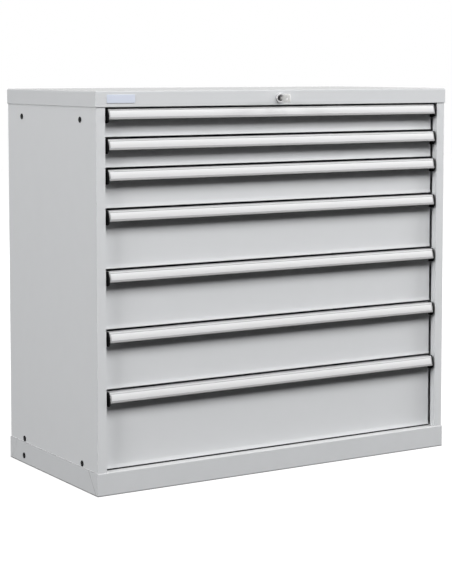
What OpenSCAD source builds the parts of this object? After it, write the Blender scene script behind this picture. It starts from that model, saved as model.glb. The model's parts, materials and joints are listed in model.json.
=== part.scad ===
// Workshop drawer cabinet of folded sheet steel. A casing stands on a plinth
// under a folded lid, seven drawers run on roller slides, and one lock in the
// lid's front bars them all from behind.
// The origin is the middle of the footprint on the floor. The drawers face -Y.

/* [Casing] */
// Width over the two side panels
case_w = 1080; // [960:10:1240]
// Depth from the posts' front face to the rear edge
case_d = 508; // [460:4:640]
// Sheet thickness of side panels and floor
case_t = 1.5; // [1.2:0.1:2]
// Sheet thickness of the back panel
back_t = 1.2; // [1:0.1:2]
// Width of the post that each side panel folds into at the front
post_w = 25; // [20:1:40]
// Depth of the post's inner return
post_return = 18; // [12:1:24]
// Width of the hem along the return's rear edge
post_hem = 12; // [8:1:16]
// Width of the side panels' top, bottom and rear flanges
side_flange = 20; // [16:1:30]
// Play around the floor and back panels
panel_play = 0.3; // [0.2:0.1:0.6]

/* [Lid] */
// Height of the lid, its skirt included
lid_h = 40; // [40:1:60]
// Sheet thickness of the lid
lid_t = 1.5; // [1.2:0.1:2]
// Play between the casing and the lid's skirt
lid_play = 0.5; // [0.3:0.1:2]
// Radius of the fold round the lid's top
lid_r = 4; // [2:0.5:4.5]

/* [Plinth] */
// Height of the plinth
plinth_h = 58; // [50:1:120]
// Sheet thickness of the plinth
plinth_t = 1.5; // [1.2:0.1:2.5]
// How far the plinth stands proud of the casing
plinth_over = 2; // [1:0.5:6]
// Radius of the fold along the plinth's top edge
plinth_r = 3; // [2:0.5:4]
// Depth of the shelf that the casing stands on
plinth_shelf = 36; // [30:1:60]
// Depth of the foot flange on the floor
plinth_foot = 25; // [15:1:40]
// Length of the corner's wrap along the side, at the floor
wrap_low = 10; // [6:1:30]
// Length of the corner's wrap along the side, at the top
wrap_top = 42; // [32:1:60]
// Width of the seam between two plinth pieces
seam_gap = 0.5; // [0.3:0.1:1]

/* [Drawer stack] */
// Height of one unit of the drawer grid
unit_h = 25; // [23:1:32]
// Height of each drawer in units, from the top down
drawer_units = [3, 3, 4, 6, 6, 6, 8]; // [3:1:10]
// Room between the plinth's top and the lowest unit
stack_gap = 2; // [1:0.5:10]
// Gap between one drawer front and the next
front_gap = 5; // [3:0.5:7]
// Height of each front's lower edge above the division line
front_rise = 1.5; // [0.5:0.5:2.5]

/* [Drawer fronts] */
// How far the fronts lie behind the posts
front_recess = 20; // [19:1:26]
// Gap between a front's end and the post
front_end_gap = 5.5; // [3:0.5:8]
// Depth of a front, from its face to the tray
front_depth = 14; // [10:1:20]
// Sheet thickness of a front
front_t = 1.2; // [1:0.1:2]
// Height of the slanted lip along a front's lower edge
lip_h = 9.5; // [5:0.5:12]
// How far the lip reaches forward
lip_out = 1.3; // [0.5:0.1:7]
// How far a front's hems lap over the tray's front wall
hem_lap = 8; // [5:0.5:10]

/* [Handles] */
// How far a handle reaches forward of the drawer front
handle_reach = 23; // [21:0.5:32]
// Height of the handle's curved face
handle_h = 24.6; // [20:0.2:28]
// How far the handle's ledge lies below the front's top edge
handle_drop = 0.4; // [0:0.2:5]
// Depth of the flat ledge on top of the handle
ledge_d = 16; // [13:0.5:20]
// Wall of the handle's extrusion
handle_t = 2; // [1.6:0.1:2.6]
// Height of the leg that lies on the drawer front
handle_leg = 18; // [12:1:24]
// Width of the finger rib along the handle's lower edge
rib_w = 5; // [3:0.5:7]
// Thickness of the finger rib
rib_t = 1.5; // [1:0.1:2.5]
// Thickness of the label strip that lies in the curved face
strip_t = 0.8; // [0.5:0.1:1]
// Distance of the label strip's ends from the handle's ends
strip_inset = 4; // [1:0.5:20]
// Thickness of a handle's end cap
cap_t = 3.5; // [2:0.5:8]
// How far an end cap stands proud of the extrusion
cap_rim = 1.2; // [0.4:0.1:1.6]
// Distance of an end cap from the front's end
cap_inset = 0.5; // [0:0.5:4]
// Radius of the end cap's chin below the extrusion
chin_r = 14; // [10:0.5:16]

/* [Trays] */
// Sheet thickness of a tray
tray_t = 1.2; // [1:0.1:1.5]
// Height of a tray's underside above its lowest unit line
tray_lift = 8; // [6:0.5:12]
// Room between a tray's rim and the unit line above
rim_room = 10; // [7:0.5:14]
// Room behind the trays for the lock bar
rear_room = 35; // [33:1:60]

/* [Runners] */
// Room beside a tray, measured from the post's inner edge
slide_room = 18; // [16:0.5:24]
// Sheet thickness of the runners
rail_t = 1.5; // [1.2:0.1:1.8]
// Width of a runner's flanges
rail_flange = 8; // [7.6:0.1:10]
// Sideways play between a carriage and its runners
slide_play = 0.7; // [0.5:0.1:1]
// Radius of the rollers
roller_r = 12; // [8:0.5:13]
// Width of the rollers
roller_w = 5.6; // [4:0.2:5.8]
// Radius of the roller pins
pin_r = 2.5; // [2:0.5:4]
// Thickness of a carriage's strip
carriage_t = 1.5; // [1.2:0.1:2]
// How far a carriage's strip reaches past its rollers, above and below
carriage_rim = 3; // [1:0.5:5]
// How much shorter a carriage is than its tray
carriage_short = 36; // [20:2:60]
// Distance of a carriage from the drawer front
carriage_start = 5; // [3:1:12]
// Distance from a carriage's end to its end roller
roller_inset = 15; // [14:1:24]
// Distance between the two middle rollers
roller_mid = 28; // [27:1:40]
// Height of the rollers' centre above the tray's underside
slide_lift = 24; // [18:0.5:26]
// Length of the brackets between runner and side panel
bracket_l = 30; // [20:2:40]

/* [Lock] */
// Sideways place of the lock, from the middle of the lid
lock_x = -6.6; // [-60:0.2:60]
// Height of the lock's axis below the middle of the lid's skirt
lock_low = 2.4; // [2:0.1:4]
// Radius of the rosette
rosette_r = 12.5; // [12:0.5:14]
// How far the rosette stands proud of the lid
rosette_t = 4.5; // [2:0.5:6]
// Radius of the lock's housing
housing_r = 10.5; // [9.5:0.5:11]
// Length of the housing behind the lid's face
housing_l = 24; // [20:1:34]
// Radius of the barrel that the key turns
barrel_r = 7; // [6.5:0.5:8]
// Radius of the shaft that runs to the rear
shaft_r = 4; // [3:0.5:5]
// Radius of the crank, which is how far the lock bar rises
crank_r = 11; // [9:0.5:11]
// Radius of the crank's pin
crank_pin_r = 3; // [2:0.5:3]
// Width of the lock bar
bar_w = 30; // [28:1:44]
// Sheet thickness of the lock bar
bar_t = 2; // [1.5:0.5:3]
// Thickness of the key
key_t = 2; // [1.5:0.1:2.2]
// Height of the key's blade
blade_h = 8; // [5:0.5:9]
// Length of the key's blade inside the barrel
blade_l = 21; // [16:1:24]
// Length of the key's shank outside the barrel
shank_l = 13; // [8:1:24]
// Length of the key's bow
bow_l = 31; // [20:1:36]
// Height of the key's bow
bow_h = 22; // [14:1:26]

/* [Fittings] */
// Distance between a side panel's holes, front to rear
hole_pitch = 337; // [300:1:360]
// Height of the lower holes above the plinth
hole_low = 9; // [9:1:14]
// Depth of the upper holes below the lid's skirt
hole_high = 32; // [20:1:40]
// Height of the plinth's hole above the floor
hole_plinth = 21.4; // [15:0.2:34]
// Radius of the holes in side panels and plinth
hole_r = 5.5; // [4:0.25:6]
// Radius of a hole cap's flange
hole_cap_r = 7.7; // [6.8:0.1:8]
// Thickness of a hole cap's flange
hole_cap_t = 1.2; // [0.8:0.1:2]
// Width of the name plate
plate_w = 78; // [40:1:120]
// Height of the name plate
plate_h = 20.8; // [12:0.2:26]
// Thickness of the name plate
plate_t = 1; // [0.6:0.1:2]
// Distance of the name plate from the lid's left edge
plate_inset = 31; // [20:1:80]

/* [Hidden] */
$fn = 48;
// How far every cut runs past what it cuts
cut = 1;
// Thin gap between pieces of one body that fit together
fit = 0.1;
// Running clearance of a pin or shaft in its hole
run = 0.05;
// An arc of a folded or extruded profile is drawn with this many chords
chords = 8;
// Largest outer radius of a fold, as a share of its sheet's thickness
fold_share = 3;

paint = [0.82, 0.83, 0.84];
plinth_paint = [0.76, 0.77, 0.78];
zinc = [0.62, 0.64, 0.66];
alu = [0.88, 0.88, 0.89];
label_white = [0.93, 0.93, 0.94];
black = [0.1, 0.1, 0.11];
chrome = [0.75, 0.76, 0.78];
steel = [0.55, 0.56, 0.58];
nickel = [0.72, 0.71, 0.68];
plate_tint = [0.82, 0.85, 0.92];

// The casing
half_w = case_w / 2;
front_y = -case_d / 2;
back_y = case_d / 2;
wall_x = half_w - case_t;
back_face = back_y - case_t - back_t;
floor_z = plinth_h + case_t;

// The drawer grid, with drawers numbered from the top down
count = len(drawer_units);
function units_above(i) = i == 0 ? 0 : drawer_units[i - 1] + units_above(i - 1);
stack_low = plinth_h + stack_gap;
stack_top = stack_low + units_above(count) * unit_h;
function line_high(i) = stack_top - units_above(i) * unit_h;
function line_low(i) = line_high(i + 1);

// The lid and the plinth
total_h = stack_top + lid_h;
case_top = total_h - lid_t;
lid_w = case_w + 2 * (lid_play + lid_t);
lid_d = case_d + 2 * (lid_play + lid_t);
lid_face = -lid_d / 2;
lid_fold = min(lid_r, fold_share * lid_t);
plinth_w = case_w + 2 * plinth_over;
plinth_d = case_d + 2 * plinth_over;
plinth_fold = min(plinth_r, fold_share * plinth_t);

// Drawer fronts
opening = half_w - post_w;
front_half = opening - front_end_gap;
front_face = front_y + front_recess;
function front_low(i) = line_low(i) + front_rise;
function front_top(i) = line_high(i) - (front_gap - front_rise);
function front_h(i) = front_top(i) - front_low(i);

// Trays
tray_x = opening - slide_room;
tray_y0 = front_face + front_depth;
tray_y1 = back_face - rear_room;
tray_l = tray_y1 - tray_y0;
function tray_low(i) = line_low(i) + tray_lift;
function tray_top(i) = line_high(i) - rim_room;

// Runners, from the tray outwards: tray rail, carriage strip, casing rail
roller_play = 0.3;
roller_gap = 0.3;
rail_h = 2 * (roller_r + roller_play + rail_t);
strip_x = tray_x + rail_flange + slide_play;
rail_x = strip_x + carriage_t + slide_play;
rail_back = rail_x + rail_flange;
// The casing rails start this far behind the drawer fronts
rail_start = 0.5;
rail_y0 = tray_y0 + rail_start;
rail_l = tray_y1 - rail_y0;
bracket_shares = [0.25, 0.75];
carriage_y0 = tray_y0 + carriage_start;
carriage_l = tray_l - carriage_short;
tray_mid = (tray_y0 + tray_y1) / 2;
inner_rollers = [carriage_y0 + roller_inset, tray_mid - roller_mid / 2];
outer_rollers = [tray_mid + roller_mid / 2, carriage_y0 + carriage_l - roller_inset];
function slide_z(i) = tray_low(i) + slide_lift;

// Handle profile: u runs forward of the front's face, v down from its top edge
foot_v = handle_drop + handle_h;
curve_run = handle_reach - ledge_d;
curve_r = (curve_run * curve_run + handle_h * handle_h) / (2 * curve_run);
curve_u = handle_reach - curve_r;
curve_a = asin(handle_h / curve_r);
inner_a = asin((handle_h - handle_t) / (curve_r - handle_t));
rim_a = asin((handle_h + cap_rim) / (curve_r + cap_rim));
cap_x = front_half - cap_inset;
handle_x = cap_x - cap_t;
// The label strip takes this part of the curve, from foot to top
strip_shares = [0.14, 0.82];
strip_play_a = atan(fit / curve_r);

// The lock, from the key at the front to the bar at the rear
lock_z = stack_top + lid_h / 2 - lock_low;
rosette_bevel = 1.5;
barrel_proud = 0.5;
barrel_tail = 2;
barrel_y0 = lid_face - rosette_t - barrel_proud;
barrel_y1 = lid_face + housing_l + barrel_tail;
key_play = 0.3;
keyway_end = 1.5;
bow_chamfer = 6;
bow_hole_r = 3.5;
bow_hole_share = 0.38;
nut_r = 14.5;
nut_t = 4;
// Room behind the lock bar for its guides
guide_room = 7;
bar_y0 = back_face - guide_room - bar_t;
bar_y1 = bar_y0 + bar_t;
bar_x = lock_x - crank_r / 2;
bar_lift_off = 3;
bar_z0 = floor_z + case_t + bar_lift_off;
slot_play = 0.4;
slot_edge = 2.5;
// The pin's rise and the bar's even rise differ by up to this share of the crank
slack_share = 0.24;
slot_z1 = lock_z + crank_pin_r + slack_share * crank_r + slot_play;
bar_z1 = slot_z1 + slot_edge;
crank_t = 2.5;
crank_gap = 1.5;
crank_y0 = bar_y0 - crank_gap - crank_t;
crank_rim = 2;
pin_past = 2;
shaft_bracket_t = 3;
shaft_bracket_gap = 6;
shaft_bracket_half = 20;
shaft_bracket_low = 10;
shaft_bracket_flange = 20;

// Each tray's hook and the bar's catch below it
hook_t = 1.5;
hook_h = 10;
hook_w = 20;
hook_room = 6;
hook_below = 14;
hook_y = bar_y0 - hook_room;
catch_t = 2;
catch_gap = 1;
pass_gap = 2;
catch_play = 6.5;
catch_y = hook_y - hook_t - catch_play - catch_t;
catch_h = crank_r + catch_t + catch_gap - pass_gap;
function hook_z(i) = tray_top(i) - hook_below;
function catch_z(i) = hook_z(i) - hook_h - crank_r - catch_t - catch_gap;

// Guides of the lock bar, each just above a unit line
guide_drawers = [0, floor(count / 2), count - 1];
guide_play = 0.3;
guide_t = 2;
guide_grip = 5;
guide_h = 14;
guide_up = 3;

// Caps in the holes of side panels and plinth
stem_l = 5;
cap_bevel = 0.6;
plate_r = 1.5;

// A block from one corner to the opposite one
module block(a, b) {
    translate(a) cube(b - a);
}

// What is drawn for the right side, on the right or mirrored to the left
module on_side(s) {
    mirror([s < 0 ? 1 : 0, 0, 0]) children();
}

// A profile drawn in Y and Z, extruded along X about the middle
module along_x(length) {
    rotate([90, 0, 90]) linear_extrude(height = length, center = true) children();
}

// A profile drawn in X and Z, extruded along Y from the first place to the second
module along_y(y0, y1) {
    translate([0, y1, 0]) rotate([90, 0, 0]) linear_extrude(height = y1 - y0) children();
}

// A round piece or bore along Y
module rod_y(y0, y1, r) {
    translate([0, y0, 0]) rotate([-90, 0, 0]) cylinder(h = y1 - y0, r = r);
}

// A round piece or bore along X
module rod_x(x0, x1, r) {
    translate([x0, 0, 0]) rotate([0, 90, 0]) cylinder(h = x1 - x0, r = r);
}

function arc(cx, cy, r, a0, a1) = [
    for (k = [0 : chords])
        let (a = a0 + (a1 - a0) * k / chords)
        [cx + r * cos(a), cy + r * sin(a)]
];

// Outline of a sheet cap seen from the side, its two upper corners rounded
function cap_outline(w, h, r) = concat(
    [[-w / 2, 0], [w / 2, 0]],
    arc(w / 2 - r, h - r, r, 0, 90),
    arc(r - w / 2, h - r, r, 90, 180)
);

module cap_block(w, d, h, r) {
    intersection() {
        along_x(w) polygon(cap_outline(d, h, r));
        along_y(-d / 2, d / 2) polygon(cap_outline(w, h, r));
    }
}

// A flat outline with four round corners
module rounded(w, h, r) {
    square([w, h - 2 * r], center = true);
    square([w - 2 * r, h], center = true);
    for (x = [-1, 1], y = [-1, 1]) translate([x * (w / 2 - r), y * (h / 2 - r)]) circle(r);
}

// The two rows of holes that side panels share with their caps
module at_panel_holes() {
    for (y = [-hole_pitch, hole_pitch] / 2, z = [plinth_h + hole_low, stack_top - hole_high])
        translate([half_w, y, z]) children();
}

module at_plinth_hole() {
    translate([plinth_w / 2, hole_pitch / 2, hole_plinth]) children();
}

// One sheet, folded into a post at the front and into flanges on the other three edges
module side_panel(s) {
    color(paint) on_side(s) difference() {
        union() {
            block([wall_x, front_y, plinth_h], [half_w, back_y, case_top]);
            block([opening, front_y, plinth_h], [half_w, front_y + case_t, case_top]);
            block([opening, front_y, plinth_h], [opening + case_t, front_y + post_return, case_top]);
            block([opening, front_y + post_return - case_t, plinth_h],
                [opening + post_hem, front_y + post_return, case_top]);
            block([half_w - side_flange, back_y - case_t, plinth_h], [half_w, back_y, case_top]);
            block([half_w - side_flange, front_y, plinth_h], [half_w, back_y, floor_z]);
            block([half_w - side_flange, front_y, case_top - case_t], [half_w, back_y, case_top]);
        }
        at_panel_holes() rod_x(-case_t - cut, cut, hole_r);
    }
}

module back_panel() {
    x = wall_x - panel_play;
    color(paint) block([-x, back_face, floor_z],
        [x, back_face + back_t, case_top - case_t - panel_play]);
}

module floor_panel() {
    x = wall_x - panel_play;
    color(paint) block([-x, tray_y0, floor_z], [x, back_face, floor_z + case_t]);
}

// A folded cap whose skirt hides the casing's upper edge
module lid() {
    color(paint) difference() {
        translate([0, 0, stack_top]) cap_block(lid_w, lid_d, lid_h, lid_fold);
        block([lid_t - lid_w / 2, lid_t - lid_d / 2, stack_top - cut],
            [lid_w / 2 - lid_t, lid_d / 2 - lid_t, case_top]);
        translate([lock_x, 0, lock_z]) rod_y(lid_face - cut, lid_face + lid_t + cut, housing_r + fit);
    }
}

// Front or back channel of the plinth, with a slanted wrap round each corner. Its
// foot ends short of the side channels' webs
module plinth_end(s) {
    fold = arc(plinth_fold, plinth_h - plinth_fold, plinth_fold, 180, 90);
    foot_x = plinth_w / 2 - plinth_t - seam_gap;
    color(plinth_paint) mirror([0, s < 0 ? 0 : 1, 0]) translate([0, -plinth_d / 2, 0]) {
        along_x(plinth_w) polygon(concat([[0, 0]], fold, [
            [plinth_shelf, plinth_h], [plinth_shelf, plinth_h - plinth_t],
            [plinth_t, plinth_h - plinth_t], [plinth_t, 0]
        ]));
        block([-foot_x, 0, 0], [foot_x, plinth_foot, plinth_t]);
        for (x = [-1, 1]) translate([x * (plinth_w - plinth_t) / 2, 0, 0])
            along_x(plinth_t) polygon(concat([[0, 0]], fold, [[wrap_top, plinth_h], [wrap_low, 0]]));
    }
}

// The plinth's two side channels, between the wraps of the front and back ones
module plinth_sides() {
    low = wrap_low + seam_gap - plinth_d / 2;
    top = wrap_top + seam_gap - plinth_d / 2;
    shelf_y = max(plinth_shelf, wrap_top) + seam_gap - plinth_d / 2;
    foot_y = max(plinth_foot, wrap_low) + seam_gap - plinth_d / 2;
    end_shelf = plinth_shelf + seam_gap - plinth_d / 2;
    x = plinth_w / 2;
    for (s = [-1, 1]) color(plinth_paint) on_side(s) difference() {
        union() {
            translate([x - plinth_t / 2, 0, 0]) along_x(plinth_t)
                polygon([[low, 0], [top, plinth_h], [-top, plinth_h], [-low, 0]]);
            block([x - plinth_shelf, shelf_y, plinth_h - plinth_t], [x, -shelf_y, plinth_h]);
            block([x - plinth_foot, foot_y, 0], [x, -foot_y, plinth_t]);
        }
        at_plinth_hole() rod_x(-plinth_t - cut, cut, hole_r);
        for (turn = [0, 1]) mirror([0, turn, 0])
            block([x - plinth_t - cut, -plinth_d / 2, plinth_h - plinth_t - seam_gap],
                [x + cut, end_shelf, plinth_h + cut]);
    }
}

// A channel that opens towards +X, drawn in X and Z about its middle height. Its
// web reaches back by the overlap that joins it to what carries it
module rail_profile(overlap) {
    difference() {
        translate([-overlap, -rail_h / 2]) square([rail_flange + overlap, rail_h]);
        translate([rail_t, rail_t - rail_h / 2]) square([rail_flange, rail_h - 2 * rail_t]);
    }
}

// Casing rails with the brackets that hold them off the side panel
module runners(s) {
    for (i = [0 : count - 1]) color(zinc) on_side(s) translate([0, 0, slide_z(i)]) {
        translate([rail_back, 0, 0]) mirror([1, 0, 0])
            along_y(rail_y0, rail_y0 + rail_l) rail_profile(0);
        for (share = bracket_shares)
            translate([0, rail_y0 + share * rail_l - bracket_l / 2, -rail_h / 2])
                linear_extrude(height = rail_h) difference() {
                    translate([rail_back - rail_t, 0]) square([wall_x - rail_back + rail_t, bracket_l]);
                    translate([rail_back, rail_t])
                        square([wall_x - rail_back - rail_t, bracket_l - 2 * rail_t]);
                }
    }
}

// Open box with a rail welded to each side and the lock's hook to its back
module tray(i) {
    z0 = tray_low(i);
    z1 = tray_top(i);
    color(paint) {
        difference() {
            block([-tray_x, tray_y0, z0], [tray_x, tray_y1, z1]);
            block([tray_t - tray_x, tray_y0 + tray_t, z0 + tray_t],
                [tray_x - tray_t, tray_y1 - tray_t, z1 + cut]);
        }
        for (s = [-1, 1]) on_side(s) translate([tray_x, 0, slide_z(i)])
            along_y(tray_y0, tray_y1) rail_profile(tray_t);
        block([bar_x - hook_w / 2, tray_y1 - tray_t, hook_z(i)],
            [bar_x + hook_w / 2, hook_y, hook_z(i) + hook_t]);
        block([bar_x - hook_w / 2, hook_y - hook_t, hook_z(i) - hook_h],
            [bar_x + hook_w / 2, hook_y, hook_z(i) + hook_t]);
    }
}

// Folded front: face, slanted lower lip, flanges on all four edges, and two hems
// that lie on the tray's front wall
module drawer_front(i) {
    h = front_h(i);
    low_hem = tray_low(i) + hem_lap - front_low(i);
    top_hem = front_top(i) - tray_top(i) + hem_lap;
    lip_slope = lip_out / lip_h;
    hem_y = front_depth - front_t;
    color(paint) translate([0, front_face, front_low(i)]) {
        along_x(2 * front_half) polygon([
            [0, h], [0, lip_h], [-lip_out, 0], [front_depth, 0], [front_depth, low_hem],
            [hem_y, low_hem], [hem_y, front_t], [front_t - lip_out + lip_slope * front_t, front_t],
            [front_t, lip_h], [front_t, h - front_t], [hem_y, h - front_t],
            [hem_y, h - top_hem], [front_depth, h - top_hem], [front_depth, h]
        ]);
        for (x = [-front_half, front_half - front_t])
            block([x, 0, 0], [x + front_t, front_depth, h]);
    }
}

// Points given forward and down, placed on the face of a drawer front
module on_front(i, length) {
    translate([0, front_face, front_top(i)]) mirror([0, 1, 0]) mirror([0, 0, 1])
        along_x(length) children();
}

// The curve of the handle's face at a radius, between two angles from its foot
function curve(r, a0, a1) = arc(curve_u, foot_v, r, -a0, -a1);

function curve_band(r0, r1, a0, a1) = concat(curve(r0, a0, a1), curve(r1, a1, a0));

// Extruded grip with a leg on the front, a ledge, a curved face and a finger rib
module handle(i) {
    low_a = curve_a * strip_shares[0];
    top_a = curve_a * strip_shares[1];
    color(alu) on_front(i, 2 * handle_x) difference() {
        polygon(concat(
            [[0, handle_drop]],
            curve(curve_r, curve_a, 0),
            [[handle_reach, foot_v + rib_t], [handle_reach - rib_w, foot_v + rib_t]],
            [[handle_reach - rib_w, foot_v]],
            curve(curve_r - handle_t, 0, inner_a),
            [[handle_t, handle_drop + handle_t], [handle_t, handle_drop + handle_leg]],
            [[0, handle_drop + handle_leg]]
        ));
        polygon(curve_band(curve_r - strip_t, curve_r + cut, low_a, top_a));
    }
}

module label_strip(i) {
    low_a = curve_a * strip_shares[0] + strip_play_a;
    top_a = curve_a * strip_shares[1] - strip_play_a;
    color(label_white) on_front(i, 2 * (handle_x - strip_inset))
        polygon(curve_band(curve_r - strip_t + run, curve_r, low_a, top_a));
}

// Moulded caps that close both ends of the handle and reach below it in a chin
module end_caps(i) {
    chin_u = handle_reach + cap_rim - chin_r;
    for (s = [-1, 1]) color(black) translate([s * (handle_x + cap_x) / 2, 0, 0])
        on_front(i, cap_t) polygon(concat(
            [[0, handle_drop - cap_rim]],
            curve(curve_r + cap_rim, rim_a, 0),
            arc(chin_u, foot_v, chin_r, 0, 90),
            [[0, foot_v + chin_r]]
        ));
}

// A roller with its bore, from one place to another along X
module roller(x0) {
    difference() {
        rod_x(x0, x0 + roller_w, roller_r);
        rod_x(x0 - cut, x0 + roller_w + cut, pin_r + run);
    }
}

// Strips that travel half as far as the drawer, with rollers in both rails
module carriages(i) {
    inner_x = strip_x - roller_gap - roller_w;
    outer_x = strip_x + carriage_t + roller_gap;
    rim = roller_r + carriage_rim;
    for (s = [-1, 1]) on_side(s) translate([0, 0, slide_z(i)]) {
        color(zinc) {
            block([strip_x, carriage_y0, -rim], [strip_x + carriage_t, carriage_y0 + carriage_l, rim]);
            for (y = inner_rollers) translate([0, y, 0]) rod_x(inner_x, strip_x + carriage_t, pin_r);
            for (y = outer_rollers) translate([0, y, 0]) rod_x(strip_x, outer_x + roller_w, pin_r);
        }
        color(steel) {
            for (y = inner_rollers) translate([0, y, 0]) roller(inner_x);
            for (y = outer_rollers) translate([0, y, 0]) roller(outer_x);
        }
    }
}

// Rosette and threaded body, with the nut that clamps the lid between them
module lock_housing() {
    translate([lock_x, 0, lock_z]) color(chrome) {
        difference() {
            union() {
                translate([0, lid_face, 0]) rotate([90, 0, 0]) rotate_extrude() polygon([
                    [0, 0], [rosette_r, 0], [rosette_r, rosette_t - rosette_bevel],
                    [rosette_r - rosette_bevel, rosette_t], [0, rosette_t]
                ]);
                rod_y(lid_face - rosette_bevel, lid_face + housing_l, housing_r);
            }
            rod_y(lid_face - rosette_t - cut, lid_face + housing_l + cut, barrel_r + run);
        }
        difference() {
            translate([0, lid_face + lid_t, 0]) rotate([-90, 0, 0]) cylinder(h = nut_t, r = nut_r, $fn = 6);
            rod_y(lid_face + lid_t - cut, lid_face + lid_t + nut_t + cut, housing_r + fit);
        }
    }
}

module lock_barrel() {
    slot_x = key_t / 2 + key_play;
    slot_z = blade_h / 2 + key_play;
    translate([lock_x, 0, lock_z]) color(chrome) difference() {
        rod_y(barrel_y0, barrel_y1, barrel_r);
        block([-slot_x, barrel_y0 - cut, -slot_z], [slot_x, barrel_y0 + blade_l + keyway_end, slot_z]);
    }
}

// Long shaft behind the barrel, with a crank at its rear end
module lock_shaft() {
    translate([lock_x, 0, lock_z]) color(steel) {
        rod_y(barrel_y1, crank_y0 + crank_t, shaft_r);
        rod_y(crank_y0, crank_y0 + crank_t, shaft_r + crank_rim);
        block([-crank_r, crank_y0, -crank_pin_r], [0, crank_y0 + crank_t, crank_pin_r]);
        translate([-crank_r, 0, 0]) {
            rod_y(crank_y0, crank_y0 + crank_t, crank_pin_r + crank_rim);
            rod_y(crank_y0, bar_y1 + pin_past, crank_pin_r);
        }
    }
}

// Upright strip that the crank lifts, with one catch for each drawer
module lock_bar() {
    color(zinc) {
        difference() {
            block([bar_x - bar_w / 2, bar_y0, bar_z0], [bar_x + bar_w / 2, bar_y1, bar_z1]);
            block([lock_x - crank_r - crank_pin_r - slot_play, bar_y0 - cut,
                lock_z - crank_pin_r - slot_play],
                [lock_x + crank_pin_r + slot_play, bar_y1 + cut, slot_z1]);
        }
        for (i = [0 : count - 1]) {
            block([bar_x - hook_w / 2, catch_y, catch_z(i)],
                [bar_x + hook_w / 2, bar_y1, catch_z(i) + catch_t]);
            block([bar_x - hook_w / 2, catch_y, catch_z(i)],
                [bar_x + hook_w / 2, catch_y + catch_t, catch_z(i) + catch_h]);
        }
    }
}

// Clips that hold the lock bar to the back panel, and the shaft's rear bearing
module lock_guides() {
    inner = bar_w / 2 + guide_play;
    clip_y = bar_y0 - guide_play - guide_t;
    for (i = guide_drawers) color(zinc) translate([bar_x, 0, line_low(i) + guide_up]) {
        block([-inner - guide_t, bar_y1 + guide_play, 0], [inner + guide_t, back_face, guide_h]);
        for (s = [-1, 1]) on_side(s) {
            block([inner, clip_y, 0], [inner + guide_t, back_face, guide_h]);
            block([bar_w / 2 - guide_grip, clip_y, 0], [inner + guide_t, clip_y + guide_t, guide_h]);
        }
    }
    y1 = crank_y0 - shaft_bracket_gap;
    y0 = y1 - shaft_bracket_t;
    color(zinc) translate([lock_x, 0, 0]) difference() {
        union() {
            block([-shaft_bracket_half, y0, lock_z - shaft_bracket_low],
                [shaft_bracket_half, y1, case_top]);
            block([-shaft_bracket_half, y0 - shaft_bracket_flange, case_top - guide_t],
                [shaft_bracket_half, y1, case_top]);
        }
        translate([0, 0, lock_z]) rod_y(y0 - cut, y1 + cut, shaft_r + run);
    }
}

// Flat key: a blade in the barrel, a shank and a bow with a hole
module key() {
    bow_y = barrel_y0 - shank_l - bow_l;
    color(nickel) translate([lock_x, 0, lock_z]) difference() {
        union() {
            along_x(key_t) translate([bow_y, 0]) polygon([
                [0, bow_chamfer - bow_h / 2], [bow_chamfer, -bow_h / 2], [bow_l, -bow_h / 2],
                [bow_l, bow_h / 2], [bow_chamfer, bow_h / 2], [0, bow_h / 2 - bow_chamfer]
            ]);
            block([-key_t / 2, bow_y + bow_chamfer, -blade_h / 2],
                [key_t / 2, barrel_y0 + blade_l, blade_h / 2]);
        }
        translate([0, bow_y + bow_l * bow_hole_share, 0]) rod_x(-key_t - cut, key_t + cut, bow_hole_r);
    }
}

// A push-in cap whose flange lies on the sheet and whose stem fills the hole
module hole_cap() {
    rotate([0, 90, 0]) rotate_extrude() polygon([
        [0, -stem_l], [hole_r - fit, -stem_l], [hole_r - fit, 0], [hole_cap_r, 0],
        [hole_cap_r, hole_cap_t - cap_bevel], [hole_cap_r - cap_bevel, hole_cap_t], [0, hole_cap_t]
    ]);
}

module hole_caps() {
    color(black) for (s = [-1, 1]) on_side(s) {
        at_panel_holes() hole_cap();
        at_plinth_hole() hole_cap();
    }
}

module name_plate() {
    x = plate_inset + plate_w / 2 - lid_w / 2;
    color(plate_tint) translate([x, 0, stack_top + lid_h / 2])
        along_y(lid_face - plate_t, lid_face) rounded(plate_w, plate_h, plate_r);
}

side_panel(-1);  // side_panel_left
side_panel(1);  // side_panel_right
back_panel();
floor_panel();
lid();
plinth_end(-1);  // plinth_front
plinth_end(1);  // plinth_back
plinth_sides();
runners(-1);  // runners_left
runners(1);  // runners_right
lock_housing();
lock_barrel();
lock_shaft();
lock_bar();
lock_guides();
key();
hole_caps();
name_plate();
for (i = [0 : count - 1]) {
    name = str("drawer_", i + 1);
    tray(i);
    drawer_front(i);
    handle(i);
    end_caps(i);
    label_strip(i);
    carriages(i);
}
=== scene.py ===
# %% [markdown]
# # A workshop drawer cabinet
# The object is a free-standing cabinet of folded sheet steel: a casing on a plinth, a lid
# with one lock, and seven full-width drawers with aluminium grip handles. Its measured
# solid parts come ready-made. Blender gives it folded edges, curved grips, moulded caps,
# finishes and light. Every length below is written in millimetres and turned into metres.

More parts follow.
